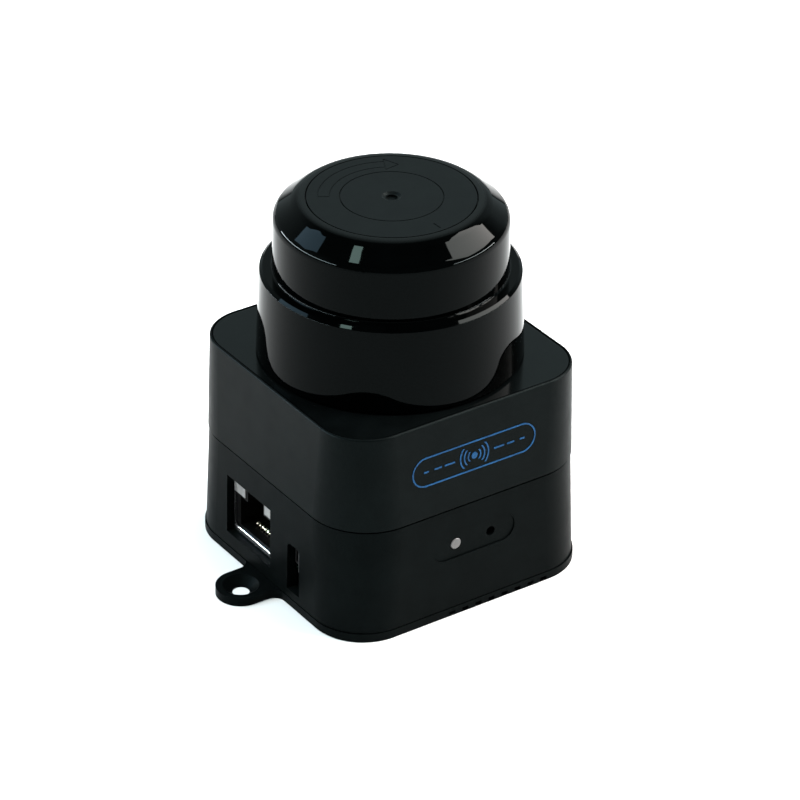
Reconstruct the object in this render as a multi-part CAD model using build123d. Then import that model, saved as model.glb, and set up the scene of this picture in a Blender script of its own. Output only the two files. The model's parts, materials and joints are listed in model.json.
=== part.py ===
"""Lidar scanner module: a square electronics case with a spinning optical head on top.

Millimetres. Origin on the axis of the head, in the plane of the underside.
+Z is up, the badge side faces -Y and the network jack side faces -X.
"""
from build123d import *
import math
import os

# ---------------------------------------------------------------- driving dimensions
BASE_HALF = 32.35           # half width of the case at its underside
LOWER_TOP_HALF = 31.95      # half width of the lower case half at the seam
UPPER_FOOT_HALF = 32.1      # half width of the upper case half at the seam
UPPER_TOP_HALF = 31.0       # half width of the upper case half at its top
BASE_CORNER = 12.5          # corner radii, seen from above, at the same three heights
SEAM_CORNER = 13.5
TOP_CORNER = 11.1
WALL = 2.1
BASE_THICKNESS = 2.0        # bottom plate, and the ears that are part of it
BASE_GAP = 0.2              # shadow line between the bottom plate and the lower half
SEAM_GAP = 0.45             # shadow line between the two case halves
SEAM_Z = 26.8               # middle of that shadow line
CASE_TOP_Z = 49.2
RIM_FILLET = 0.4
RIM_WIDTH = 0.5
PLATE_RECESS = 0.1          # the top plate lies this far below the rim
PLATE_THICKNESS = 1.6
PLATE_GROOVE = 0.28         # groove between the top plate and the rim

HEAD_TOP_Z = 85.4
CAP_EDGE_RADIUS = 19.9      # corner of the head cover's top, before its wide rounding
HEAD_RADIUS = 25.0          # upper wall of the head cover
CHAMFER_Z = 81.4            # foot of the wide chamfer
LEDGE_Z = 69.0              # step between the upper wall and the skirt
LEDGE_CHAMFER = 0.56        # height of the chamfer on the ledge's outer edge
SKIRT_TOP_RADIUS = 27.88
SKIRT_FOOT_RADIUS = 28.7
SKIRT_CLEARANCE = 0.35      # running gap between the skirt and the top plate
COVER_WALL = 1.4
CAP_DISC_RADIUS = 17.9
CAP_DISC_GAP = 0.3          # ring groove between the cap disc and the cover
CAP_DISC_THICKNESS = 1.0

EAR_CENTRE = 38.3           # hole centres lie this far from the axis, along X
EAR_RADIUS = 5.5
EAR_FILLET = 2.6
EAR_HOLE_RADIUS = 1.9
EAR_SINK_RADIUS = 4.0
EAR_SINK_DEPTH = 1.75

SCREW_BOSS_OFFSET = 24.4    # case screw axes, in X and in Y
SCREW_BOSS_RADIUS = 3.4

JACK_CENTRE_Y = 7.1         # network jack
JACK_WIDTH = 15.2
JACK_HEIGHT = 13.4
JACK_DEPTH = 16.0
JACK_FACE_X = -30.5
JACK_WINDOW = (-2.2, 15.0, 5.5, 19.85)       # y and z limits of the jack's window in the case
POWER_WINDOW = (-13.6, -9.0, 4.0, 15.6)      # y and z limits of the power window
BOARD_TOP_Z = 5.7
BOARD_THICKNESS = 1.6
BOARD_SCREW_OFFSET = 19.5

STATUS_Z = 17.7             # light pipe and reset pinhole
STATUS_OFFSET = 4.5
RECESS_FLOOR = 31.85        # distance of the status recess's floor from the axis

SHAFT_RADIUS = 2.0
BALL_RADIUS = 0.7
BALL_PATH_RADIUS = 3.27
BALL_COUNT = 7
CORE_SCREW_RADIUS = 24.9    # circle of the screws that hold the scanner's cup
COVER_SCREW_RADIUS = 23.6   # circle of the screws that hold the head cover

LOWER_BEARING_Z = 37.0
UPPER_BEARING_Z = 42.6

# ---------------------------------------------------------------- worked out from those
CAVITY_HALF = LOWER_TOP_HALF - WALL
CAVITY_CORNER = SEAM_CORNER - WALL
SEAT_HALF = UPPER_TOP_HALF - RIM_WIDTH      # seat of the top plate
SEAT_CORNER = TOP_CORNER - RIM_WIDTH
PLATE_TOP_Z = CASE_TOP_Z - PLATE_RECESS
PLATE_FOOT_Z = PLATE_TOP_Z - PLATE_THICKNESS
PLATE_HOLE_RADIUS = 24.4
FLANGE_THICKNESS = 2.0      # inner flange of the upper case, under the top plate
FLANGE_FOOT_Z = PLATE_FOOT_Z - FLANGE_THICKNESS
FLANGE_HOLE_RADIUS = 22.5
SKIRT_FOOT_Z = PLATE_TOP_Z + SKIRT_CLEARANCE
LOWER_FOOT_Z = BASE_THICKNESS + BASE_GAP
LOWER_TOP_Z = SEAM_Z - SEAM_GAP / 2
UPPER_FOOT_Z = SEAM_Z + SEAM_GAP / 2
FACE_LEAN = (UPPER_FOOT_HALF - UPPER_TOP_HALF) / (CASE_TOP_Z - UPPER_FOOT_Z)
BOARD_FOOT_Z = BOARD_TOP_Z - BOARD_THICKNESS
JACK_FOOT_Z = BOARD_TOP_Z + 0.1
TURNTABLE_FOOT_Z = 50.0
TURNTABLE_TOP_Z = 52.0
OPTICS_Z = 75.4             # height of the two optical axes


# ---------------------------------------------------------------- helpers
def block(x0, x1, y0, y1, z0, z1):
    """Box between two corners."""
    return Pos((x0 + x1) / 2, (y0 + y1) / 2, (z0 + z1) / 2) * Box(x1 - x0, y1 - y0, z1 - z0)


def disc(radius, z0, z1, x=0.0, y=0.0):
    """Upright cylinder between two heights."""
    return Pos(x, y, (z0 + z1) / 2) * Cylinder(radius, z1 - z0)


def ring(outer, inner, z0, z1, x=0.0, y=0.0):
    """Upright tube between two heights."""
    return disc(outer, z0, z1, x, y) - disc(inner, z0 - 1, z1 + 1, x, y)


def rod_y(radius, y0, y1, x, z):
    """Cylinder lying along Y."""
    return Pos(x, (y0 + y1) / 2, z) * Rot(90, 0, 0) * Cylinder(radius, y1 - y0)


def rounded_prism(half, corner, z0, z1):
    """Upright square prism with rounded corners."""
    outline = RectangleRounded(2 * half, 2 * half, corner)
    return Pos(0, 0, z0) * extrude(outline, amount=z1 - z0)


def leaning_prism(foot, top, z0, z1):
    """Prism between two rounded squares; foot and top hold (half width, corner radius)."""
    outlines = []
    for (half, corner), z in ((foot, z0), (top, z1)):
        outlines.append(Pos(0, 0, z) * RectangleRounded(2 * half, 2 * half, corner))
    return loft(outlines, ruled=True)


def turned(points, rounded=()):
    """Solid of revolution from (radius, height) corners; rounded holds (corner index, fillet radius)."""
    profile = make_face(Polyline(*points, close=True))
    corners = {index: Vector(*points[index]) for index, _ in rounded}
    for index, radius in rounded:
        vertex = min(profile.vertices(), key=lambda v: (Vector(v.X, v.Y) - corners[index]).length)
        profile = fillet(vertex, radius)
    upright = Plane.XZ * profile
    return revolve(upright, axis=Axis.Z)


def at_corners(offset):
    """The four (x, y) places at plus or minus offset."""
    return [(sx * offset, sy * offset) for sx in (-1, 1) for sy in (-1, 1)]


def around(count, radius, start=0.0):
    """Evenly spaced (x, y, angle in degrees) places on a circle."""
    places = []
    for index in range(count):
        angle = start + 360.0 * index / count
        turn = math.radians(angle)
        places.append((radius * math.cos(turn), radius * math.sin(turn), angle))
    return places


def joined(solids):
    """Several separate solids as one group."""
    return Compound(children=[solid for solid in solids])


PARTS = {}


def keep(name, shape):
    """Remember a finished sub-part under its node name."""
    PARTS[name] = shape


# ---------------------------------------------------------------- case
def ear(side):
    """Screw ear on the bottom plate, with filleted roots; side is -1 or 1."""
    root_x = BASE_HALF
    outline = SlotCenterToCenter(2 * EAR_CENTRE, 2 * EAR_RADIUS)
    tongue = extrude(outline, amount=BASE_THICKNESS) & block(0, 60, -20, 20, 0, BASE_THICKNESS)
    reach = EAR_RADIUS + EAR_FILLET
    web = block(root_x - 3, root_x + EAR_FILLET, -reach, reach, 0, BASE_THICKNESS)
    for sign in (-1, 1):
        web = web - disc(EAR_FILLET, -1, BASE_THICKNESS + 1, root_x + EAR_FILLET, sign * reach)
    tongue = (tongue + web) & block(root_x - 3, 60, -20, 20, 0, BASE_THICKNESS)
    hole = disc(EAR_HOLE_RADIUS, -1, BASE_THICKNESS + 1, EAR_CENTRE)
    sink = Pos(EAR_CENTRE, 0, BASE_THICKNESS - EAR_SINK_DEPTH / 2) * Cone(
        EAR_HOLE_RADIUS, EAR_SINK_RADIUS, EAR_SINK_DEPTH)
    tongue = tongue - sink
    tongue = tongue - hole
    return tongue if side > 0 else Rot(0, 0, 180) * tongue


def bottom_plate():
    """Flat plate with two ears, countersunk case screw holes and a row of vent slots."""
    plate = rounded_prism(BASE_HALF + 0.1, BASE_CORNER - 0.5, 0, BASE_THICKNESS)
    plate = chamfer(plate.edges().group_by(Axis.Z)[0], 0.15)
    plate = plate + ear(-1)
    plate = plate + ear(1)
    for x, y in at_corners(SCREW_BOSS_OFFSET):
        plate = plate - disc(1.7, -1, 3, x, y)
        plate = plate - disc(3.1, -1, 1.2, x, y)
    vent_pitch = 3.44
    first_vent = -5.5
    vent_half = 0.8
    vent_depth = 2.2
    for index in range(8):
        x = first_vent + index * vent_pitch
        slot = block(x - vent_half, x + vent_half, -BASE_HALF - 1, -BASE_HALF + vent_depth, 0.25, 1.1)
        plate = plate - slot
    for x, y in at_corners(BOARD_SCREW_OFFSET):
        plate = plate - disc(0.9, 0.6, 3, x, y)
    keep("bottom_plate", plate)


def lower_housing():
    """Open square tube with the connector windows, screw towers and the status recess."""
    foot = (BASE_HALF, BASE_CORNER)
    top = (LOWER_TOP_HALF, SEAM_CORNER)
    shell = leaning_prism(foot, top, LOWER_FOOT_Z, LOWER_TOP_Z)
    shell = shell - rounded_prism(CAVITY_HALF, CAVITY_CORNER, LOWER_FOOT_Z - 1, SEAM_Z + 1)
    lip_half = CAVITY_HALF + 0.8
    lip = rounded_prism(lip_half, CAVITY_CORNER + 0.8, SEAM_Z - 1, SEAM_Z + 1.4)
    lip = lip - rounded_prism(CAVITY_HALF, CAVITY_CORNER, SEAM_Z - 2, SEAM_Z + 2)
    shell = shell + lip
    for x, y in at_corners(SCREW_BOSS_OFFSET):
        shell = shell + ring(SCREW_BOSS_RADIUS, 1.7, LOWER_FOOT_Z, LOWER_TOP_Z, x, y)
        shell = shell - disc(1.7, LOWER_FOOT_Z - 1, SEAM_Z + 3, x, y)
    shell = shell - block(-BASE_HALF - 1, -28, *JACK_WINDOW)
    shell = shell - power_window()
    recess_start = BASE_HALF + 1
    recess_outline = SlotOverall(21.3, 6.7)
    recess_cut = extrude(recess_outline, amount=recess_start - RECESS_FLOOR, both=True)
    recess = Pos(0, -recess_start, STATUS_Z) * Rot(90, 0, 0) * recess_cut
    shell = shell - recess
    shell = shell - rod_y(1.35, -40, -20, -STATUS_OFFSET, STATUS_Z)
    shell = shell - rod_y(1.1, -40, -20, STATUS_OFFSET, STATUS_Z)
    keep("lower_housing", shell)


def power_window():
    """Tall window of the power connector, with rounded top corners."""
    window = block(-BASE_HALF - 1, -28, *POWER_WINDOW)
    top_edges = window.edges().filter_by(Axis.X).group_by(Axis.Z)[-1]
    return fillet(top_edges, 1.1)


def upper_housing():
    """Upper half of the case: rim, seat for the top plate, inner flange and screw towers."""
    foot = (UPPER_FOOT_HALF, SEAM_CORNER)
    top = (UPPER_TOP_HALF, TOP_CORNER)
    shell = leaning_prism(foot, top, UPPER_FOOT_Z, CASE_TOP_Z)
    shell = fillet(shell.edges().group_by(Axis.Z)[-1], RIM_FILLET)
    inner_half = UPPER_TOP_HALF - WALL
    shell = shell - rounded_prism(inner_half, CAVITY_CORNER, UPPER_FOOT_Z - 1, FLANGE_FOOT_Z)
    shell = shell - rounded_prism(CAVITY_HALF + 0.95, CAVITY_CORNER + 0.95, UPPER_FOOT_Z - 1, SEAM_Z + 1.6)
    for x, y in at_corners(SCREW_BOSS_OFFSET - 0.3):
        tower = disc(SCREW_BOSS_RADIUS + 0.3, SEAM_Z + 1.9, FLANGE_FOOT_Z, x, y)
        shell = shell + tower
    for x, y in at_corners(SCREW_BOSS_OFFSET):
        shell = shell - disc(1.55, UPPER_FOOT_Z - 1, 38, x, y)
    shell = shell - rounded_prism(SEAT_HALF, SEAT_CORNER, PLATE_FOOT_Z, CASE_TOP_Z + 1)
    shell = shell - disc(FLANGE_HOLE_RADIUS, FLANGE_FOOT_Z - 1, PLATE_FOOT_Z + 1)
    for x, y, _ in around(4, CORE_SCREW_RADIUS, 45):
        shell = shell - disc(0.85, FLANGE_FOOT_Z - 1, PLATE_FOOT_Z + 1, x, y)
    keep("upper_housing", shell)


def top_plate():
    """Plate let into the rim, with the hole the scanner's neck passes through and a dust ring."""
    half = SEAT_HALF - PLATE_GROOVE
    plate = rounded_prism(half, SEAT_CORNER - PLATE_GROOVE, PLATE_FOOT_Z + 0.02, PLATE_TOP_Z)
    plate = plate - disc(PLATE_HOLE_RADIUS, PLATE_FOOT_Z - 1, PLATE_TOP_Z + 1)
    dust_ring = ring(PLATE_HOLE_RADIUS + 1.0, PLATE_HOLE_RADIUS, PLATE_TOP_Z - 0.5, PLATE_TOP_Z + 0.5)
    keep("top_plate", plate + dust_ring)


def case_screws():
    """Four long screws from the underside into the upper towers."""
    screws = []
    for x, y in at_corners(SCREW_BOSS_OFFSET):
        screw = disc(2.8, 0.15, 1.18, x, y) + disc(1.5, 1.1, 36.5, x, y)
        screw = screw - (Pos(x, y, 0.4) * extrude(RegularPolygon(1.25, 6), amount=-1.2))
        screws.append(screw)
    keep("case_screws", joined(screws))


def front_badge():
    """Raised outline with a scan symbol, lying on the leaning front of the upper case half."""
    centre_z = 38.05
    face_y = -(UPPER_FOOT_HALF - FACE_LEAN * (centre_z - UPPER_FOOT_Z))
    lean = math.degrees(math.atan(FACE_LEAN))
    face = Pos(0, face_y, centre_z) * Rot(90 - lean, 0, 0)
    length, height, stroke = 31.6, 7.0, 0.32
    raised = 0.08
    outline = SlotOverall(length, height) - SlotOverall(length - 2 * stroke, height - 2 * stroke)
    marks = [extrude(outline, amount=raised), extrude(Circle(0.75), amount=raised)]
    for radius in (1.75, 2.75, 3.75):
        band = Circle(radius) - Circle(radius - 0.32)
        for side in (-1, 1):
            window = Pos(side * 2.2, 0) * Rectangle(4.4, 1.25 * radius)
            wedge = band & window
            marks.append(extrude(wedge, amount=raised))
    for side in (-1, 1):
        for step, width in enumerate((2.6, 1.9, 1.2)):
            x = side * (6.3 + 3.0 * step)
            marks.append(Pos(x, 0, raised / 2) * Box(width, 0.35, raised))
    badge = joined([face * (Pos(0, 0, 0.01) * mark) for mark in marks])
    keep("front_badge", badge)


# ---------------------------------------------------------------- connectors
def rj45_jack():
    """Network jack standing on the main board: shield, insert, contacts and light windows."""
    y0 = JACK_CENTRE_Y - JACK_WIDTH / 2
    y1 = JACK_CENTRE_Y + JACK_WIDTH / 2
    x0 = JACK_FACE_X
    x1 = JACK_FACE_X + JACK_DEPTH
    z0 = JACK_FOOT_Z
    z1 = JACK_FOOT_Z + JACK_HEIGHT
    sheet = 0.25
    shield = block(x0, x1, y0, y1, z0, z1)
    shield = shield - block(x0 - 1, x1 - sheet, y0 + sheet, y1 - sheet, z0 + sheet, z1 - sheet)
    lip_depth = 0.6
    bottom_lip = block(x0, x0 + lip_depth, y0 + sheet, y1 - sheet, z0 + sheet, z0 + 1.15)
    lip_edge = bottom_lip.edges().filter_by(Axis.Y).sort_by(Axis.X)[:2].sort_by(Axis.Z)[-1]
    keep("rj45_shield", shield + fillet(lip_edge, 0.35))

    gap = sheet + 0.02
    insert = block(x0 + lip_depth + 0.05, x1 - gap, y0 + gap, y1 - gap, z0 + gap, z1 - gap)
    cavity_half = 5.95
    cavity_foot = z0 + 1.45
    cavity_depth = 12.0
    cavity = block(x0 - 1, x0 + cavity_depth, JACK_CENTRE_Y - cavity_half, JACK_CENTRE_Y + cavity_half,
                   cavity_foot, cavity_foot + 7.3)
    latch_step = block(x0 - 1, x0 + cavity_depth, JACK_CENTRE_Y - 3.05, JACK_CENTRE_Y + 3.05,
                       cavity_foot + 7, z1 - 1.1)
    insert = insert - cavity - latch_step
    window_width, window_height, window_depth = 3.5, 3.7, 1.6
    windows = []
    for side in (-1, 1):
        edge = JACK_CENTRE_Y + side * (JACK_WIDTH / 2 - gap)
        inner = edge - side * window_width
        seat = block(x0 - 1, x0 + window_depth, min(edge, inner), max(edge, inner), z1 - gap - window_height,
                     z1 - gap)
        insert = insert - seat
        play = 0.03
        windows.append(block(x0 + 0.4, x0 + window_depth - play, min(edge, inner) + play,
                             max(edge, inner) - play, z1 - gap - window_height + play, z1 - gap - play))
    keep("rj45_led_windows", joined(windows))

    contacts = []
    pitch = 1.02
    contact_half = 0.22
    groove_half = contact_half + 0.08
    groove_foot = cavity_foot - 0.85
    for index in range(8):
        y = JACK_CENTRE_Y + (index - 3.5) * pitch
        insert = insert - block(x0 + 3.0, x0 + 11.3, y - groove_half, y + groove_half, groove_foot,
                                cavity_foot + 0.1)
        spring = block(x0 + 3.5, x0 + 11.2, y - contact_half, y + contact_half, groove_foot + 0.05,
                       groove_foot + 0.35)
        bend = rod_y(0.42, y - contact_half, y + contact_half, x0 + 3.75, cavity_foot + 0.45)
        stem = block(x0 + 3.6, x0 + 3.9, y - contact_half, y + contact_half, groove_foot + 0.05,
                     cavity_foot + 0.45)
        contacts.append(spring + stem + bend)
    keep("rj45_insert", insert)
    keep("rj45_contacts", joined(contacts))


def power_connector():
    """Upright two-way power header just inside its window."""
    x0, x1 = -31.85, -26.0
    y0, y1 = -13.3, -9.2
    z0, z1 = 9.9, 15.4
    shroud = block(x0, x1, y0, y1, z0, z1)
    shroud = shroud - block(x0 - 1, x1 - 1.0, y0 + 0.45, y1 - 0.45, z0 + 0.55, z1 - 0.55)
    shroud = shroud - block(x0 - 1, x0 + 1.6, y0 + 0.45, y1 + 1, z0 - 1, z1 + 1)
    shroud = shroud + block(-27.0, -26.0, y0, y1, BOARD_TOP_Z + 0.02, z0 + 0.5)
    keep("power_header", shroud)
    pins = []
    for z in (11.65, 13.65):
        pins.append(block(x0 + 1.4, x1 - 1.02, -11.5, -11.0, z - 0.25, z + 0.25))
    keep("power_pins", joined(pins))


# ---------------------------------------------------------------- boards in the case
def boards():
    """Main board on spacers, compute module, riser board and antenna."""
    outline = Rectangle(54, 54)
    outline = chamfer(outline.vertices(), 11)
    board = Pos(0, 0, BOARD_FOOT_Z) * extrude(outline, amount=BOARD_THICKNESS)
    for x, y in at_corners(BOARD_SCREW_OFFSET):
        board = board - disc(1.3, BOARD_FOOT_Z - 1, BOARD_TOP_Z + 1, x, y)
    keep("main_board", board)
    spacers = []
    screws = []
    for x, y in at_corners(BOARD_SCREW_OFFSET):
        spacers.append(ring(2.2, 1.05, BASE_THICKNESS + 0.01, BOARD_FOOT_Z - 0.01, x, y))
        shank = disc(0.85, 1.0, BOARD_TOP_Z + 0.1, x, y)
        screws.append(shank + disc(1.9, BOARD_TOP_Z + 0.02, BOARD_TOP_Z + 1.2, x, y))
    keep("board_spacers", joined(spacers))
    keep("board_screws", joined(screws))

    keep("module_header", block(4, 20, -3, 3, BOARD_TOP_Z + 0.02, 10.98))
    keep("compute_module", block(-6, 22, -13, 13, 11.0, 12.2))
    chips = [block(1, 13, -6, 6, 12.22, 13.4), block(15, 21, -10, -1, 12.22, 13.2),
             block(15, 21, 1, 10, 12.22, 13.2)]
    keep("module_chips", joined(chips))
    spreader = block(-4, 20, -11, 11, 13.42, 15.0)
    for index in range(7):
        y = -10.2 + index * 3.4
        spreader = spreader + block(-4, 20, y - 0.5, y + 0.5, 14.9, 19.0)
    keep("heat_spreader", spreader)
    keep("riser_board", block(25.3, 26.5, -9, 9, BOARD_TOP_Z + 0.3, 43.0))
    keep("riser_sockets", joined([block(22.6, 25.28, -8, 8, BOARD_TOP_Z + 0.02, 9.5),
                                  block(22.3, 25.28, -6, 6, 31.5, 34.5)]))
    keep("wifi_antenna", block(-8, 8, 28.4, 28.8, 30.5, 42.0))


def front_board():
    """Upright board behind the front wall with the status LED and the reset switch."""
    board_y0, board_y1 = -26.0, -24.8
    keep("front_board", block(-10, 10, board_y0, board_y1, BOARD_TOP_Z + 0.02, 23.5))
    led_y = board_y0 - 1.0
    keep("status_led", block(-STATUS_OFFSET - 1.2, -STATUS_OFFSET + 1.2, led_y, board_y0 - 0.01,
                             STATUS_Z - 1.0, STATUS_Z + 1.0))
    pipe = rod_y(1.3, -31.95, led_y - 0.15, -STATUS_OFFSET, STATUS_Z)
    pipe = fillet(pipe.edges().sort_by(Axis.Y)[0], 0.25)
    pipe = pipe + rod_y(2.3, -29.85, -28.8, -STATUS_OFFSET, STATUS_Z)
    keep("light_pipe", pipe)
    switch = block(STATUS_OFFSET - 2.6, STATUS_OFFSET + 2.6, -28.6, board_y0 - 0.01, STATUS_Z - 2.6,
                   STATUS_Z + 2.6)
    switch = switch - rod_y(1.15, -30, -27.2, STATUS_OFFSET, STATUS_Z)
    keep("reset_switch", switch)
    plunger = rod_y(0.9, -29.4, -27.6, STATUS_OFFSET, STATUS_Z)
    keep("reset_plunger", fillet(plunger.edges().sort_by(Axis.Y)[0], 0.25))


# ---------------------------------------------------------------- fixed part of the scanner
def scanner_base():
    """Cup that carries the motor and the bearings under the inner flange of the case."""
    top_z = FLANGE_FOOT_Z - 0.05
    cup = disc(21.5, 33.0, top_z) + disc(27.0, top_z - 2.0, top_z)
    cup = cup - disc(19.5, 35.0, top_z + 1)
    tube_top = UPPER_BEARING_Z + 2.0
    cup = cup + disc(5.6, 34.0, tube_top)
    cup = cup - disc(3.4, 34.5, tube_top + 1)
    cup = cup - disc(4.55, LOWER_BEARING_Z - 2.0, tube_top + 1)
    for x, y, _ in around(4, CORE_SCREW_RADIUS, 45):
        cup = cup - disc(1.1, top_z - 3, top_z + 1, x, y)
    keep("scanner_base", cup)
    screws = []
    for x, y, _ in around(4, CORE_SCREW_RADIUS, 45):
        shank = disc(0.8, top_z - 2.1, PLATE_FOOT_Z - 0.1, x, y)
        screws.append(shank + disc(1.7, top_z - 3.2, top_z - 2.02, x, y))
    keep("core_screws", joined(screws))


def motor_stator():
    """Laminated core pushed over the bearing tube, with a coil on every tooth."""
    z0, z1 = 37.2, 40.6
    middle_z = (z0 + z1) / 2
    core_height = z1 - z0
    teeth = 9
    tooth_radius = 9.6
    shoe_radius = 12.2
    core = ring(7.4, 5.63, z0, z1)
    shoe_ring = ring(shoe_radius + 0.5, shoe_radius - 0.5, z0, z1)
    winding = Box(3.2, 3.2, core_height + 1.4) - Box(4, 1.9, core_height + 0.1)
    coils = []
    for x, y, angle in around(teeth, tooth_radius):
        place = Pos(x, y, middle_z) * Rot(0, 0, angle)
        core = core + place * Box(5.2, 1.8, core_height)
        coils.append(place * winding)
    for x, y, angle in around(teeth, shoe_radius):
        wedge = Pos(x, y, middle_z) * Rot(0, 0, angle) * Box(3, 6.2, core_height)
        core = core + (shoe_ring & wedge)
    keep("stator_core", core)
    keep("stator_coils", joined(coils))


def bearing(name, centre_z):
    """Small ball bearing: fixed outer ring, turning inner ring, and a set of balls."""
    half = 1.6
    groove = Pos(0, 0, centre_z) * Torus(BALL_PATH_RADIUS, BALL_RADIUS + 0.03)
    outer = ring(4.52, 3.72, centre_z - half, centre_z + half) - groove
    inner = ring(2.82, SHAFT_RADIUS + 0.02, centre_z - half, centre_z + half) - groove
    keep(name + "_outer", outer)
    keep(name + "_inner", inner)
    balls = [Pos(x, y, centre_z) * Sphere(BALL_RADIUS) for x, y, _ in around(BALL_COUNT, BALL_PATH_RADIUS)]
    keep(name + "_balls", joined(balls))


def coil_board():
    """Ring board on the cup with the fixed power coil and the encoder sensor."""
    z0 = FLANGE_FOOT_Z
    board = ring(22.0, 9.5, z0, z0 + 1.2)
    keep("coil_board", board)
    keep("primary_coil", ring(15.0, 10.5, z0 + 1.22, z0 + 2.2))
    sensor = block(16.2, 20.2, -2.5, 2.5, z0 + 1.22, 49.3)
    keep("encoder_sensor", sensor - ring(18.8, 17.1, 47.0, 50.0))


# ---------------------------------------------------------------- turning part
def rotor():
    """Shaft, rotor bell with magnets, turntable, secondary coil and encoder ring."""
    foot = TURNTABLE_FOOT_Z
    keep("shaft", disc(SHAFT_RADIUS, LOWER_BEARING_Z - 1.9, TURNTABLE_TOP_Z - 0.4))
    bell = ring(16.2, 14.9, 36.6, 43.1) + ring(15.5, 6.2, 41.9, 43.1) + ring(8.5, 6.2, 42.5, foot - 0.02)
    keep("rotor_bell", bell)
    keep("rotor_magnets", ring(14.87, 13.1, 36.8, 41.2))

    table = disc(26.3, foot, TURNTABLE_TOP_Z) + disc(5.5, 46.0, foot + 0.5)
    table = table - disc(SHAFT_RADIUS + 0.01, 45.0, TURNTABLE_TOP_Z + 1)
    for x, y, _ in around(3, COVER_SCREW_RADIUS, 30):
        table = table - disc(1.1, foot - 1, TURNTABLE_TOP_Z + 1, x, y)
        table = table - disc(2.0, foot - 1, foot + 1.05, x, y)
    for x, y, _ in around(3, 16.5, 90):
        table = table + disc(1.6, TURNTABLE_TOP_Z - 0.5, TURNTABLE_TOP_Z + 1.0, x, y)
    keep("turntable", table)

    keep("secondary_coil", ring(15.0, 10.5, foot - 1.1, foot - 0.02))
    code_ring = ring(18.3, 17.6, foot - 2.6, foot - 0.02)
    for x, y, angle in around(24, 17.95):
        slot = Pos(x, y, foot - 2.2) * Rot(0, 0, angle) * Box(2.0, 1.6, 1.6)
        code_ring = code_ring - slot
    keep("encoder_ring", code_ring)


def optics():
    """Everything that stands on the turntable under the head cover."""
    board_foot = TURNTABLE_TOP_Z + 1.02
    board_top = board_foot + 1.0
    keep("rotor_board", disc(19.8, board_foot, board_top))
    frame_foot = board_top + 0.02
    frame = block(-14, 14, -8, 6, frame_foot, 56.0) + block(-14, 14, -4, 3, 55.5, 81.0)
    laser_x, laser_radius = -7.5, 3.5
    eye_x, eye_radius = 6.0, 5.6
    frame = frame - rod_y(laser_radius + 0.02, -6, 6, laser_x, OPTICS_Z)
    frame = frame - rod_y(eye_radius + 0.02, -6, 6, eye_x, OPTICS_Z)
    frame = frame - block(-10, 10, -6, 4, 58.0, 66.0)
    keep("optics_frame", frame)

    barrel_back = 2.6
    barrel = rod_y(laser_radius, -14.0, barrel_back, laser_x, OPTICS_Z)
    keep("laser_barrel", barrel - rod_y(laser_radius - 0.8, -15, 4, laser_x, OPTICS_Z))
    keep("laser_lens", lens(laser_radius - 0.82, -13.6, 1.5, laser_x))
    keep("laser_diode", rod_y(2.0, -1.2, barrel_back - 0.1, laser_x, OPTICS_Z))
    barrel = rod_y(eye_radius, -15.5, barrel_back, eye_x, OPTICS_Z)
    keep("receiver_barrel", barrel - rod_y(eye_radius - 0.9, -17, 4, eye_x, OPTICS_Z))
    keep("receiver_lens", lens(eye_radius - 0.92, -15.0, 2.6, eye_x))
    keep("detector", block(eye_x - 1.6, eye_x + 1.6, 3.2, 4.18, OPTICS_Z - 1.6, OPTICS_Z + 1.6))
    keep("optics_board", block(-14, 14, 4.2, 5.4, 56.02, 80.5))
    keep("balance_weight", block(-8, 8, 12.5, 16.5, frame_foot, 60.0))


def lens(radius, front_y, thickness, x):
    """Plano-convex lens with its axis along Y and its dome towards -Y."""
    dome_height = 0.5 * thickness
    dome_radius = (radius ** 2 + dome_height ** 2) / (2 * dome_height)
    body = rod_y(radius, front_y, front_y + thickness, x, OPTICS_Z)
    return body & (Pos(x, front_y + dome_radius, OPTICS_Z) * Rot(90, 0, 0) * Sphere(dome_radius))


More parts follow.
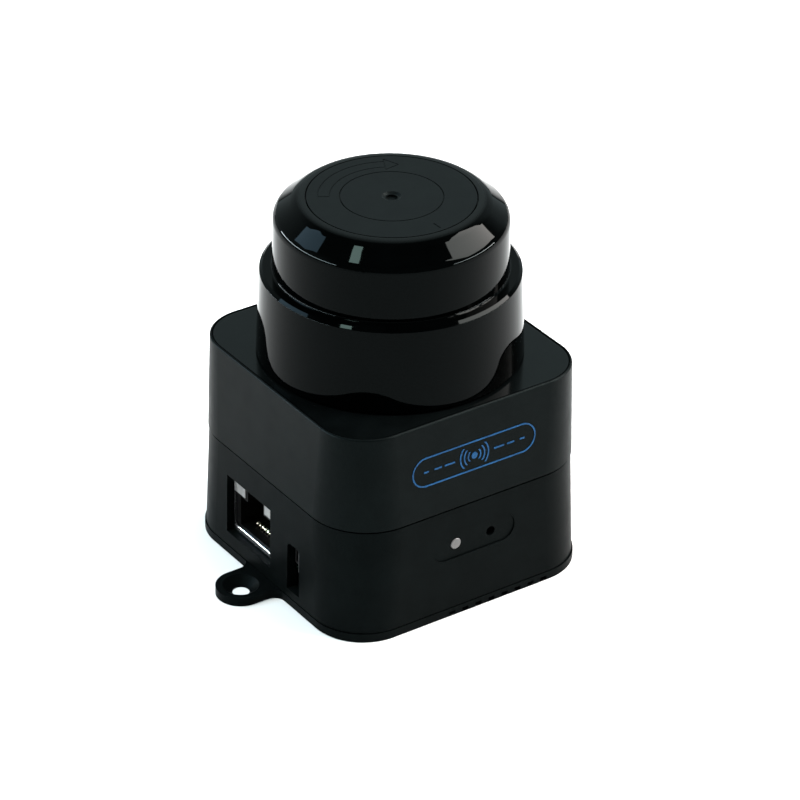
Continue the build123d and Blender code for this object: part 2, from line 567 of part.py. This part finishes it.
def head_cover():
    """Glossy one-piece cover: chamfered top, upper wall, ledge with a chamfered edge and leaning skirt."""
    seat_radius = CAP_DISC_RADIUS + CAP_DISC_GAP
    seat_z = HEAD_TOP_Z - CAP_DISC_THICKNESS
    roof_z = seat_z - COVER_WALL
    inner_ledge_z = LEDGE_Z - COVER_WALL
    chamfer_slope = (HEAD_RADIUS - CAP_EDGE_RADIUS) / (HEAD_TOP_Z - CHAMFER_Z)
    profile = [
        (0, seat_z),
        (seat_radius, seat_z),
        (seat_radius, HEAD_TOP_Z),
        (CAP_EDGE_RADIUS, HEAD_TOP_Z),
        (HEAD_RADIUS, CHAMFER_Z),
        (HEAD_RADIUS + 0.12, LEDGE_Z),
        (SKIRT_TOP_RADIUS - LEDGE_CHAMFER * chamfer_slope, LEDGE_Z),
        (SKIRT_TOP_RADIUS, LEDGE_Z - LEDGE_CHAMFER),
        (SKIRT_FOOT_RADIUS, SKIRT_FOOT_Z),
        (SKIRT_FOOT_RADIUS - COVER_WALL, SKIRT_FOOT_Z),
        (SKIRT_TOP_RADIUS - COVER_WALL, inner_ledge_z),
        (HEAD_RADIUS - COVER_WALL, inner_ledge_z),
        (HEAD_RADIUS - COVER_WALL, CHAMFER_Z - 0.6),
        (CAP_EDGE_RADIUS + 0.6, roof_z),
        (0, roof_z),
    ]
    cover = turned(profile, rounded=((3, 4.5), (4, 2.3), (5, 0.45), (6, 0.15), (7, 0.2), (8, 0.3)))
    for x, y, _ in around(3, COVER_SCREW_RADIUS, 30):
        boss = disc(3.4, TURNTABLE_TOP_Z + 0.05, inner_ledge_z + 0.2, x, y)
        cover = cover + boss
        cover = cover - disc(0.95, TURNTABLE_TOP_Z - 1, 62, x, y)
    keep("head_cover", cover)
    screws = []
    for x, y, _ in around(3, COVER_SCREW_RADIUS, 30):
        screws.append(disc(1.85, TURNTABLE_FOOT_Z + 0.05, TURNTABLE_FOOT_Z + 1.0, x, y)
                      + disc(0.9, TURNTABLE_FOOT_Z + 0.9, 60.0, x, y))
    keep("cover_screws", joined(screws))


def cap_disc():
    """Disc let into the top of the cover, with a ring groove, a centre pit and a turning arrow."""
    foot = HEAD_TOP_Z - CAP_DISC_THICKNESS + 0.02
    cap = disc(CAP_DISC_RADIUS, foot, HEAD_TOP_Z)
    groove_radius, groove_half, groove_depth = 10.9, 0.12, 0.25
    cap = cap - ring(groove_radius + groove_half, groove_radius - groove_half, HEAD_TOP_Z - groove_depth,
                     HEAD_TOP_Z + 1)
    dish = Pos(0, 0, HEAD_TOP_Z - 0.15) * Cone(1.5, 2.1, 0.3)
    cap = cap - dish
    cap = cap - disc(1.25, HEAD_TOP_Z - 0.8, HEAD_TOP_Z + 1)
    line, depth = 0.2, 0.12
    cut_z = HEAD_TOP_Z - depth
    arrow_inner, arrow_outer = 12.9, 15.6
    wedge = arc_sector(20, 62, 148, cut_z, HEAD_TOP_Z + 0.5)
    rails = ring(arrow_outer, arrow_outer - line, cut_z, HEAD_TOP_Z + 1)
    rails = rails + ring(arrow_inner + line, arrow_inner, cut_z, HEAD_TOP_Z + 1)
    cap = cap - (rails & wedge)
    middle = (arrow_inner + arrow_outer) / 2
    for angle in (62, 148):
        cap = cap - spoke(angle, arrow_inner, arrow_outer, line, cut_z)
    tip = polar(middle, 50)
    for start, end in ((polar(arrow_outer + 1.0, 62), tip), (polar(arrow_inner - 1.0, 62), tip)):
        cap = cap - scribed(start, end, line, cut_z)
    cap = cap - spoke(62, arrow_inner - 1.0, arrow_inner, line, cut_z)
    cap = cap - spoke(62, arrow_outer, arrow_outer + 1.0, line, cut_z)
    cap = cap - spoke(-88, 14.6, 17.0, 0.3, cut_z)
    keep("cap_disc", cap)


def polar(radius, angle):
    """Point on the top at a radius and an angle in degrees."""
    turn = math.radians(angle)
    return (radius * math.cos(turn), radius * math.sin(turn))


def arc_sector(radius, start, end, z0, z1):
    """Pie piece between two angles."""
    middle = (start + end) / 2
    edge = Line((0, 0), polar(radius, start)) + Line(polar(radius, end), (0, 0))
    rim = ThreePointArc(polar(radius, start), polar(radius, middle), polar(radius, end))
    return Pos(0, 0, z0) * extrude(make_face(edge + rim), amount=z1 - z0)


def scribed(start, end, width, z0):
    """Straight groove cutter between two points of the top."""
    length = math.dist(start, end)
    angle = math.degrees(math.atan2(end[1] - start[1], end[0] - start[0]))
    middle_x = (start[0] + end[0]) / 2
    middle_y = (start[1] + end[1]) / 2
    return Pos(middle_x, middle_y, z0 + 0.5) * Rot(0, 0, angle) * Box(length, width, 1.0)


def spoke(angle, inner, outer, width, z0):
    """Radial groove cutter."""
    return scribed(polar(inner, angle), polar(outer, angle), width, z0)


# ---------------------------------------------------------------- build and write
bottom_plate()
lower_housing()
upper_housing()
top_plate()
case_screws()
front_badge()
rj45_jack()
power_connector()
boards()
front_board()
scanner_base()
motor_stator()
bearing("lower_bearing", LOWER_BEARING_Z)
bearing("upper_bearing", UPPER_BEARING_Z)
coil_board()
rotor()
optics()
head_cover()
cap_disc()

os.makedirs("parts", exist_ok=True)
for node, shape in PARTS.items():
    export_step(shape, "parts/" + node + ".step")
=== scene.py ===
import json
import math

import bpy
from mathutils import Matrix, Vector


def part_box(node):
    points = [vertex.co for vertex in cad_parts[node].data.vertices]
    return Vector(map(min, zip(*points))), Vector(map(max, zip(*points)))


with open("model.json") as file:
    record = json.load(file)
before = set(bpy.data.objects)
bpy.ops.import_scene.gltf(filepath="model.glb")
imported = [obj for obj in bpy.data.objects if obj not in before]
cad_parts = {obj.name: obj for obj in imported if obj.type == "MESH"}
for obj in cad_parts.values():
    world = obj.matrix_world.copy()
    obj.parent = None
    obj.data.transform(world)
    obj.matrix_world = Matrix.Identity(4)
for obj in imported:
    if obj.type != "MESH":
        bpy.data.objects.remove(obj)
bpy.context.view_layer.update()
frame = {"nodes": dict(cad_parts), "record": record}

MM = 0.001
nodes = frame["nodes"]
scene = bpy.context.scene

# ---------------------------------------------------------------- camera and studio values
CAMERA_AZIMUTH = -34.788          # degrees from -Y, positive towards +X
CAMERA_ELEVATION = 31.173         # degrees above the floor
CAMERA_ROLL = 0.735               # degrees
CAMERA_DISTANCE = 0.85862         # metres from the aim
CAMERA_AIM = (0.0, 0.0, 0.032)    # a point on the spin axis
CAMERA_RIGHT, CAMERA_UP = 0.002274, 0.003103     # small sideways and upward steps from the aim
LENS_MM, SENSOR_MM = 179.03, 36.0
CLIP_NEAR, CLIP_FAR = 0.05, 50.0

FLOOR_HALF = 12.0
FLOOR_DROP = 0.02 * MM            # keeps the floor just under the case's flat underside
FLOOR_DARK, FLOOR_LIGHT = (0.59, 0.62, 0.625), (0.61, 0.64, 0.645)

WALL_COLOUR = (0.66, 0.80, 0.82)       # surroundings near the horizon
CEILING_COLOUR = (0.05, 0.052, 0.055)
WALL_END, CEILING_START = 0.45, 0.86   # heights on the unit sphere where the fade starts and ends
FRONT_DIM = 0.25                       # how bright the surroundings are on the camera's side
FRONT_END, BACK_START = 0.08, 0.26     # Y on the unit sphere where the front's dimming ends

LIGHT_AIM = (0.0, 0.0, 0.05)
FAR, FARTHER = 1.5, 1.6                # metres from the lights to the object

# ---------------------------------------------------------------- finish values
COOL = (0.70, 1.04, 1.08)         # tint of the black plastics
NEUTRAL = (1.0, 1.0, 1.0)
EVEN = (1, 1, 1)
SHEEN = (0.72, 1.0, 1.0)          # tint of the black plastics' reflections
HEAD_SHEEN = (0.84, 1.0, 1.0)
HEAD_LEVEL = 0.031
CAP_COLOUR = (0.0011, 0.0016, 0.0017)
CAP_LEVEL = 0.055
# Base colour of the head cover's satin rim: the satin's own dark tone plus painted reflection, standing in for
# the cap's stronger specular level.
SATIN_TONE_AND_PAINTED_REFLECTION = (0.0030, 0.0040, 0.0041)
SATIN_ROUGHNESS = 0.37
RIM_FADE_FROM, RIM_FADE_TO = 0.35 * MM, 0.05 * MM      # depths below the top between which the satin and its painted reflection fade in
# Painted shade: the lower housing and bottom plate get a copy of the case finish with a weaker reflection, so
# they come out darker as if shaded.
LOWER_PAINTED_SHADE = {"lower_housing": "case_black_painted_shade", "bottom_plate": "case_black_painted_shade"}


def grey(value, tint=NEUTRAL):
    """Colour of one brightness, with a tint."""
    return tuple(value * part for part in tint)


# By material slot: dark and light shade, texture scales per metre for colour (patch), roughness (rough_scale)
# and relief (grain), the roughness range, and the relief's depth in millimetres.
FINISHES = {
    "case_black": dict(
        dark=grey(0.0013, COOL), light=grey(0.0019, COOL), patch=160,
        rough=(0.36, 0.43), rough_scale=220, grain=5200, depth=0.006, level=0.030, sheen=SHEEN),
    # Shaded copy of case_black: same colours, weaker reflection, as painted shade on the lower case.
    "case_black_painted_shade": dict(
        dark=grey(0.0013, COOL), light=grey(0.0019, COOL), patch=160,
        rough=(0.36, 0.43), rough_scale=220, grain=5200, depth=0.006, level=0.019, sheen=SHEEN),
    "plate_black": dict(
        dark=grey(0.0009, COOL), light=grey(0.0014, COOL), patch=120,
        rough=(0.13, 0.17), rough_scale=180, grain=4200, depth=0.0010, level=0.085, sheen=SHEEN),
    "head_gloss": dict(
        dark=grey(0.0002, COOL), light=grey(0.0004, COOL), patch=90,
        rough=(0.025, 0.045), rough_scale=60, grain=900, depth=0.0002, level=HEAD_LEVEL, sheen=HEAD_SHEEN),
    "cap_satin": dict(
        dark=CAP_COLOUR, light=grey(0.0018, COOL), patch=200,
        rough=(0.34, 0.40), rough_scale=260, grain=5200, depth=0.004, level=CAP_LEVEL, sheen=SHEEN),
    "badge_blue": dict(
        dark=(0.0045, 0.038, 0.103), light=(0.007, 0.058, 0.153), patch=350,
        rough=(0.35, 0.5), rough_scale=500, grain=4500, depth=0.004, level=0.08),
    "light_pipe_white": dict(
        dark=grey(0.062), light=grey(0.08), patch=500,
        rough=(0.30, 0.38), rough_scale=400, grain=3000, depth=0.003),
    "button_black": dict(
        dark=grey(0.006), light=grey(0.010), patch=300,
        rough=(0.45, 0.55), rough_scale=300, grain=4500, depth=0.004, level=0.3),
    "jack_metal": dict(
        dark=grey(0.42), light=grey(0.52), patch=300,
        rough=(0.20, 0.26), rough_scale=400, grain=1500, depth=0.0004, metallic=1.0),
    "jack_black": dict(
        dark=grey(0.0008), light=grey(0.0014), patch=300,
        rough=(0.40, 0.5), rough_scale=300, grain=4000, depth=0.004, level=0.06),
    "jack_led_window": dict(
        dark=(0.25, 0.25, 0.246), light=(0.30, 0.30, 0.294), patch=700,
        rough=(0.25, 0.35), rough_scale=600, grain=3200, depth=0.003, level=0.2),
    "contact_gold": dict(
        dark=(0.80, 0.70, 0.50), light=(0.95, 0.85, 0.66), patch=900,
        rough=(0.22, 0.32), rough_scale=900, grain=3000, depth=0.001, metallic=1.0),
    "header_black": dict(
        dark=grey(0.006), light=grey(0.010), patch=400,
        rough=(0.35, 0.45), rough_scale=400, grain=3500, depth=0.003, level=0.4),
    "board_green": dict(
        dark=(0.002, 0.016, 0.007), light=(0.004, 0.030, 0.012), patch=260,
        rough=(0.22, 0.32), rough_scale=300, grain=2600, depth=0.004, level=0.2),
    "part_black": dict(
        dark=grey(0.012), light=grey(0.02), patch=300,
        rough=(0.45, 0.6), rough_scale=300, grain=4200, depth=0.005),
    "led_lens": dict(
        dark=(0.62, 0.60, 0.40), light=(0.80, 0.78, 0.58), patch=600,
        rough=(0.15, 0.25), rough_scale=500, grain=2600, depth=0.002),
    "antenna_film": dict(
        dark=(0.20, 0.09, 0.015), light=(0.30, 0.14, 0.03), patch=300,
        rough=(0.3, 0.4), rough_scale=300, grain=2500, depth=0.003),
    "screw_steel": dict(
        dark=grey(0.36), light=grey(0.50), patch=700,
        rough=(0.28, 0.40), rough_scale=800, grain=2800, depth=0.002, metallic=1.0),
    "bearing_steel": dict(
        dark=grey(0.55), light=grey(0.66), patch=400,
        rough=(0.10, 0.16), rough_scale=600, grain=2500, depth=0.0006, metallic=1.0, stretch=(1, 1, 5)),
    "cast_aluminium": dict(
        dark=grey(0.48), light=grey(0.60), patch=300,
        rough=(0.34, 0.46), rough_scale=500, grain=2600, depth=0.006, metallic=1.0),
    "core_steel": dict(
        dark=grey(0.22), light=grey(0.32), patch=500,
        rough=(0.35, 0.5), rough_scale=700, grain=1500, depth=0.010, metallic=1.0, stretch=(0.3, 0.3, 3)),
    "magnet_grey": dict(
        dark=grey(0.12), light=grey(0.18), patch=500,
        rough=(0.5, 0.6), rough_scale=500, grain=3500, depth=0.008, metallic=0.6),
    "coil_copper": dict(
        dark=(0.55, 0.20, 0.07), light=(0.80, 0.34, 0.14), patch=900,
        rough=(0.25, 0.38), rough_scale=900, grain=1400, depth=0.03, metallic=1.0, stretch=(0.6, 0.6, 3)),
    "code_black": dict(
        dark=grey(0.006), light=grey(0.01), patch=300,
        rough=(0.5, 0.6), rough_scale=300, grain=4000, depth=0.003),
    "diode_gold": dict(
        dark=(0.75, 0.52, 0.20), light=(0.90, 0.68, 0.32), patch=700,
        rough=(0.16, 0.24), rough_scale=700, grain=2600, depth=0.001, metallic=1.0),
    "lens_glass": dict(
        dark=(0.82, 0.90, 0.95), light=(0.88, 0.95, 1.0), patch=300,
        rough=(0.01, 0.03), rough_scale=200, grain=600, depth=0.0001, transmission=0.9),
    "balance_brass": dict(
        dark=(0.50, 0.34, 0.12), light=(0.66, 0.47, 0.20), patch=500,
        rough=(0.25, 0.35), rough_scale=600, grain=2200, depth=0.003, metallic=1.0, stretch=(1, 4, 1)),
}


# ---------------------------------------------------------------- camera
def make_camera():
    """Long-lens camera in front of the corner between the badge side and the socket side."""
    azimuth, elevation, roll = map(math.radians, (CAMERA_AZIMUTH, CAMERA_ELEVATION, CAMERA_ROLL))
    back = Vector((math.sin(azimuth) * math.cos(elevation), -math.cos(azimuth) * math.cos(elevation),
                   math.sin(elevation)))
    right = (-back).cross(Vector((0, 0, 1))).normalized()
    up = right.cross(-back)
    place = Vector(CAMERA_AIM) + back * CAMERA_DISTANCE + right * CAMERA_RIGHT + up * CAMERA_UP
    turned_right = right * math.cos(roll) + up * math.sin(roll)
    turned_up = up * math.cos(roll) - right * math.sin(roll)
    data = bpy.data.cameras.new("camera")
    data.sensor_width = SENSOR_MM
    data.lens = LENS_MM
    data.clip_start = CLIP_NEAR
    data.clip_end = CLIP_FAR
    camera = bpy.data.objects.new("camera", data)
    scene.collection.objects.link(camera)
    axes = Matrix((turned_right, turned_up, back)).transposed().to_4x4()
    camera.matrix_world = Matrix.Translation(place) @ axes
    scene.camera = camera


# ---------------------------------------------------------------- studio
def make_floor():
    """Large pale floor."""
    mesh = bpy.data.meshes.new("floor")
    corners = [(-FLOOR_HALF, -FLOOR_HALF, 0), (FLOOR_HALF, -FLOOR_HALF, 0),
               (FLOOR_HALF, FLOOR_HALF, 0), (-FLOOR_HALF, FLOOR_HALF, 0)]
    mesh.from_pydata(corners, [], [(0, 1, 2, 3)])
    floor = bpy.data.objects.new("floor", mesh)
    scene.collection.objects.link(floor)
    floor.location.z = -FLOOR_DROP
    mat, shader, tree = new_material("floor_paper")
    shader.inputs["Roughness"].default_value = 0.9
    shader.inputs["Specular IOR Level"].default_value = 0.1
    colour_from_noise(tree, shader, 3.0, FLOOR_DARK, FLOOR_LIGHT)
    mesh.materials.append(mat)


def softbox(name, azimuth, elevation, distance, width, height, radiance, tint=NEUTRAL, mirrored=True,
            lighting=True):
    """Rectangular soft light at a compass bearing (from +X towards +Y), facing the object.

    mirrored is False for a fill light that glossy parts shouldn't show. lighting is False for a strip that only
    shows as a reflection.
    """
    a, e = math.radians(azimuth), math.radians(elevation)
    away = Vector((math.cos(a) * math.cos(e), math.sin(a) * math.cos(e), math.sin(e)))
    data = bpy.data.lights.new(name, "AREA")
    data.shape = "RECTANGLE"
    data.size = width
    data.size_y = height
    data.energy = radiance * math.pi * width * height
    data.color = tint
    light = bpy.data.objects.new(name, data)
    light.location = Vector(LIGHT_AIM) + away * distance
    light.rotation_euler = away.to_track_quat("Z", "Y").to_euler()
    light.visible_glossy = mirrored
    light.visible_diffuse = lighting
    scene.collection.objects.link(light)


def make_lights():
    """Large softbox on the right, window and narrow pane on the left, fills, and two low strips."""
    softbox("key_right", -22, 44, FAR, 1.12, 0.72, 33.0, (1.0, 0.91, 0.87))
    softbox("window_left", 127.5, 42.5, FAR, 0.49, 0.42, 12.0, (0.52, 0.77, 1.0))
    softbox("pane_left", 172.4, 66.5, FAR, 0.13, 0.22, 47.0, (0.78, 1.0, 0.92))
    softbox("overhead", 0, 89, FAR, 0.9, 0.9, 10.5, mirrored=False)
    softbox("low_left", 148, 12, FAR, 2.2, 0.10, 115.0, (0.85, 0.93, 1.0), lighting=False)
    softbox("low_right", -40, 10, FAR, 1.4, 0.08, 110.0, lighting=False)
    softbox("side_left", 165, 50, FARTHER, 0.9, 0.9, 8.0, mirrored=False)


def make_world():
    """Pale surroundings behind the object that fall off to a dark ceiling and a dim front."""
    world = bpy.data.worlds.new("studio")
    scene.world = world
    world.use_nodes = True
    tree = world.node_tree
    tree.nodes.clear()
    out = tree.nodes.new("ShaderNodeOutputWorld")
    background = tree.nodes.new("ShaderNodeBackground")
    coords = tree.nodes.new("ShaderNodeTexCoord")
    split = tree.nodes.new("ShaderNodeSeparateXYZ")
    ramp = tree.nodes.new("ShaderNodeValToRGB")
    ramp.color_ramp.interpolation = "EASE"
    first, last = ramp.color_ramp.elements
    first.position, first.color = WALL_END, (*WALL_COLOUR, 1)
    last.position, last.color = CEILING_START, (*CEILING_COLOUR, 1)
    tree.links.new(coords.outputs["Generated"], split.inputs[0])
    tree.links.new(split.outputs["Z"], ramp.inputs["Fac"])
    tree.links.new(ramp.outputs["Color"], background.inputs["Color"])
    side = tree.nodes.new("ShaderNodeMapRange")
    side.inputs["From Min"].default_value = FRONT_END
    side.inputs["From Max"].default_value = BACK_START
    side.inputs["To Min"].default_value = FRONT_DIM
    side.inputs["To Max"].default_value = 1.0
    tree.links.new(split.outputs["Y"], side.inputs["Value"])
    tree.links.new(side.outputs["Result"], background.inputs["Strength"])
    tree.links.new(background.outputs["Background"], out.inputs["Surface"])


# ---------------------------------------------------------------- material helpers
def new_material(name):
    """Material with one principled shader; returns the material, the shader and the node tree."""
    mat = bpy.data.materials.new(name)
    mat.use_nodes = True
    tree = mat.node_tree
    tree.nodes.clear()
    out = tree.nodes.new("ShaderNodeOutputMaterial")
    shader = tree.nodes.new("ShaderNodeBsdfPrincipled")
    tree.links.new(shader.outputs["BSDF"], out.inputs["Surface"])
    return mat, shader, tree


def noise(tree, scale, detail, rough, stretch):
    """Noise texture in object space; returns its factor output."""
    coords = tree.nodes.new("ShaderNodeTexCoord")
    mapping = tree.nodes.new("ShaderNodeMapping")
    mapping.inputs["Scale"].default_value = stretch
    texture = tree.nodes.new("ShaderNodeTexNoise")
    texture.inputs["Scale"].default_value = scale
    texture.inputs["Detail"].default_value = detail
    texture.inputs["Roughness"].default_value = rough
    tree.links.new(coords.outputs["Object"], mapping.inputs["Vector"])
    tree.links.new(mapping.outputs["Vector"], texture.inputs["Vector"])
    return texture.outputs["Fac"]


def colour_from_noise(tree, shader, scale, dark, light, stretch=EVEN):
    """Base colour that wanders between two shades."""
    ramp = tree.nodes.new("ShaderNodeValToRGB")
    first, last = ramp.color_ramp.elements
    first.position, first.color = 0.35, (*dark, 1)
    last.position, last.color = 0.65, (*light, 1)
    tree.links.new(noise(tree, scale, 3.0, 0.5, stretch), ramp.inputs["Fac"])
    tree.links.new(ramp.outputs["Color"], shader.inputs["Base Color"])


def roughness_from_noise(tree, shader, scale, low, high, stretch):
    """Roughness that wanders between two values."""
    span = tree.nodes.new("ShaderNodeMapRange")
    span.inputs["From Min"].default_value = 0.3
    span.inputs["From Max"].default_value = 0.7
    span.inputs["To Min"].default_value = low
    span.inputs["To Max"].default_value = high
    tree.links.new(noise(tree, scale, 3.0, 0.55, stretch), span.inputs["Value"])
    tree.links.new(span.outputs["Result"], shader.inputs["Roughness"])


def bump_from_noise(tree, shader, scale, depth_mm, stretch):
    """Fine relief from noise, depth in millimetres."""
    bump = tree.nodes.new("ShaderNodeBump")
    bump.inputs["Strength"].default_value = 1.0
    bump.inputs["Distance"].default_value = depth_mm * MM
    tree.links.new(noise(tree, scale, 2.0, 0.55, stretch), bump.inputs["Height"])
    tree.links.new(bump.outputs["Normal"], shader.inputs["Normal"])


def finish_material(name, dark, light, patch, rough, rough_scale, grain, depth, metallic=0.0, level=0.5,
                    stretch=EVEN, sheen=EVEN, transmission=0.0):
    """Surface with wandering colour and roughness and a fine grain; sheen tints its reflections."""
    mat, shader, tree = new_material(name)
    shader.inputs["Metallic"].default_value = metallic
    shader.inputs["Specular IOR Level"].default_value = level
    shader.inputs["Specular Tint"].default_value = (*sheen, 1)
    shader.inputs["Transmission Weight"].default_value = transmission
    colour_from_noise(tree, shader, patch, dark, light, stretch)
    roughness_from_noise(tree, shader, rough_scale, rough[0], rough[1], stretch)
    bump_from_noise(tree, shader, grain, depth, stretch)
    return mat


def satin_rim_with_painted_reflection(mat):
    """The head cover's rim has the cap's satin finish, which fades out over the rounding of its edge; its base
    colour there is raised as painted reflection, standing in for the cap's stronger specular level.
    """
    tree = mat.node_tree
    shader = tree.nodes["Principled BSDF"]
    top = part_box("head_cover")[1][2]
    coords = tree.nodes.new("ShaderNodeTexCoord")
    split = tree.nodes.new("ShaderNodeSeparateXYZ")
    tree.links.new(coords.outputs["Object"], split.inputs[0])
    band = tree.nodes.new("ShaderNodeMapRange")
    band.inputs["From Min"].default_value = top - RIM_FADE_FROM
    band.inputs["From Max"].default_value = top - RIM_FADE_TO
    tree.links.new(split.outputs["Z"], band.inputs["Value"])
    # Rougher satin, and a raised base colour that is painted reflection.
    changes = (("Roughness", "FLOAT", SATIN_ROUGHNESS), ("Base Color", "RGBA", (*SATIN_TONE_AND_PAINTED_REFLECTION, 1)))
    for name, kind, rim_value in changes:
        socket = shader.inputs[name]
        mix = tree.nodes.new("ShaderNodeMix")
        mix.data_type = kind
        tree.links.new(socket.links[0].from_socket, mix.inputs["A"])
        mix.inputs["B"].default_value = rim_value
        tree.links.new(band.outputs["Result"], mix.inputs["Factor"])
        tree.links.new(mix.outputs["Result"], socket)


def paint_nodes():
    """Give every CAD node the finish of its material slot; the lower housing and bottom plate get the shaded
    copy of the case finish as painted shade.
    """
    table = {name: finish_material(name, **values) for name, values in FINISHES.items()}
    satin_rim_with_painted_reflection(table["head_gloss"])
    for entry in frame["record"]["subparts"]:
        piece = nodes[entry["node"]]
        piece.data.materials.clear()
        name = LOWER_PAINTED_SHADE.get(entry["node"], entry["material_slot"])
        piece.data.materials.append(table[name])


# ---------------------------------------------------------------- build the scene
scene.view_settings.view_transform = "Standard"
make_camera()
make_world()
make_floor()
make_lights()
paint_nodes()
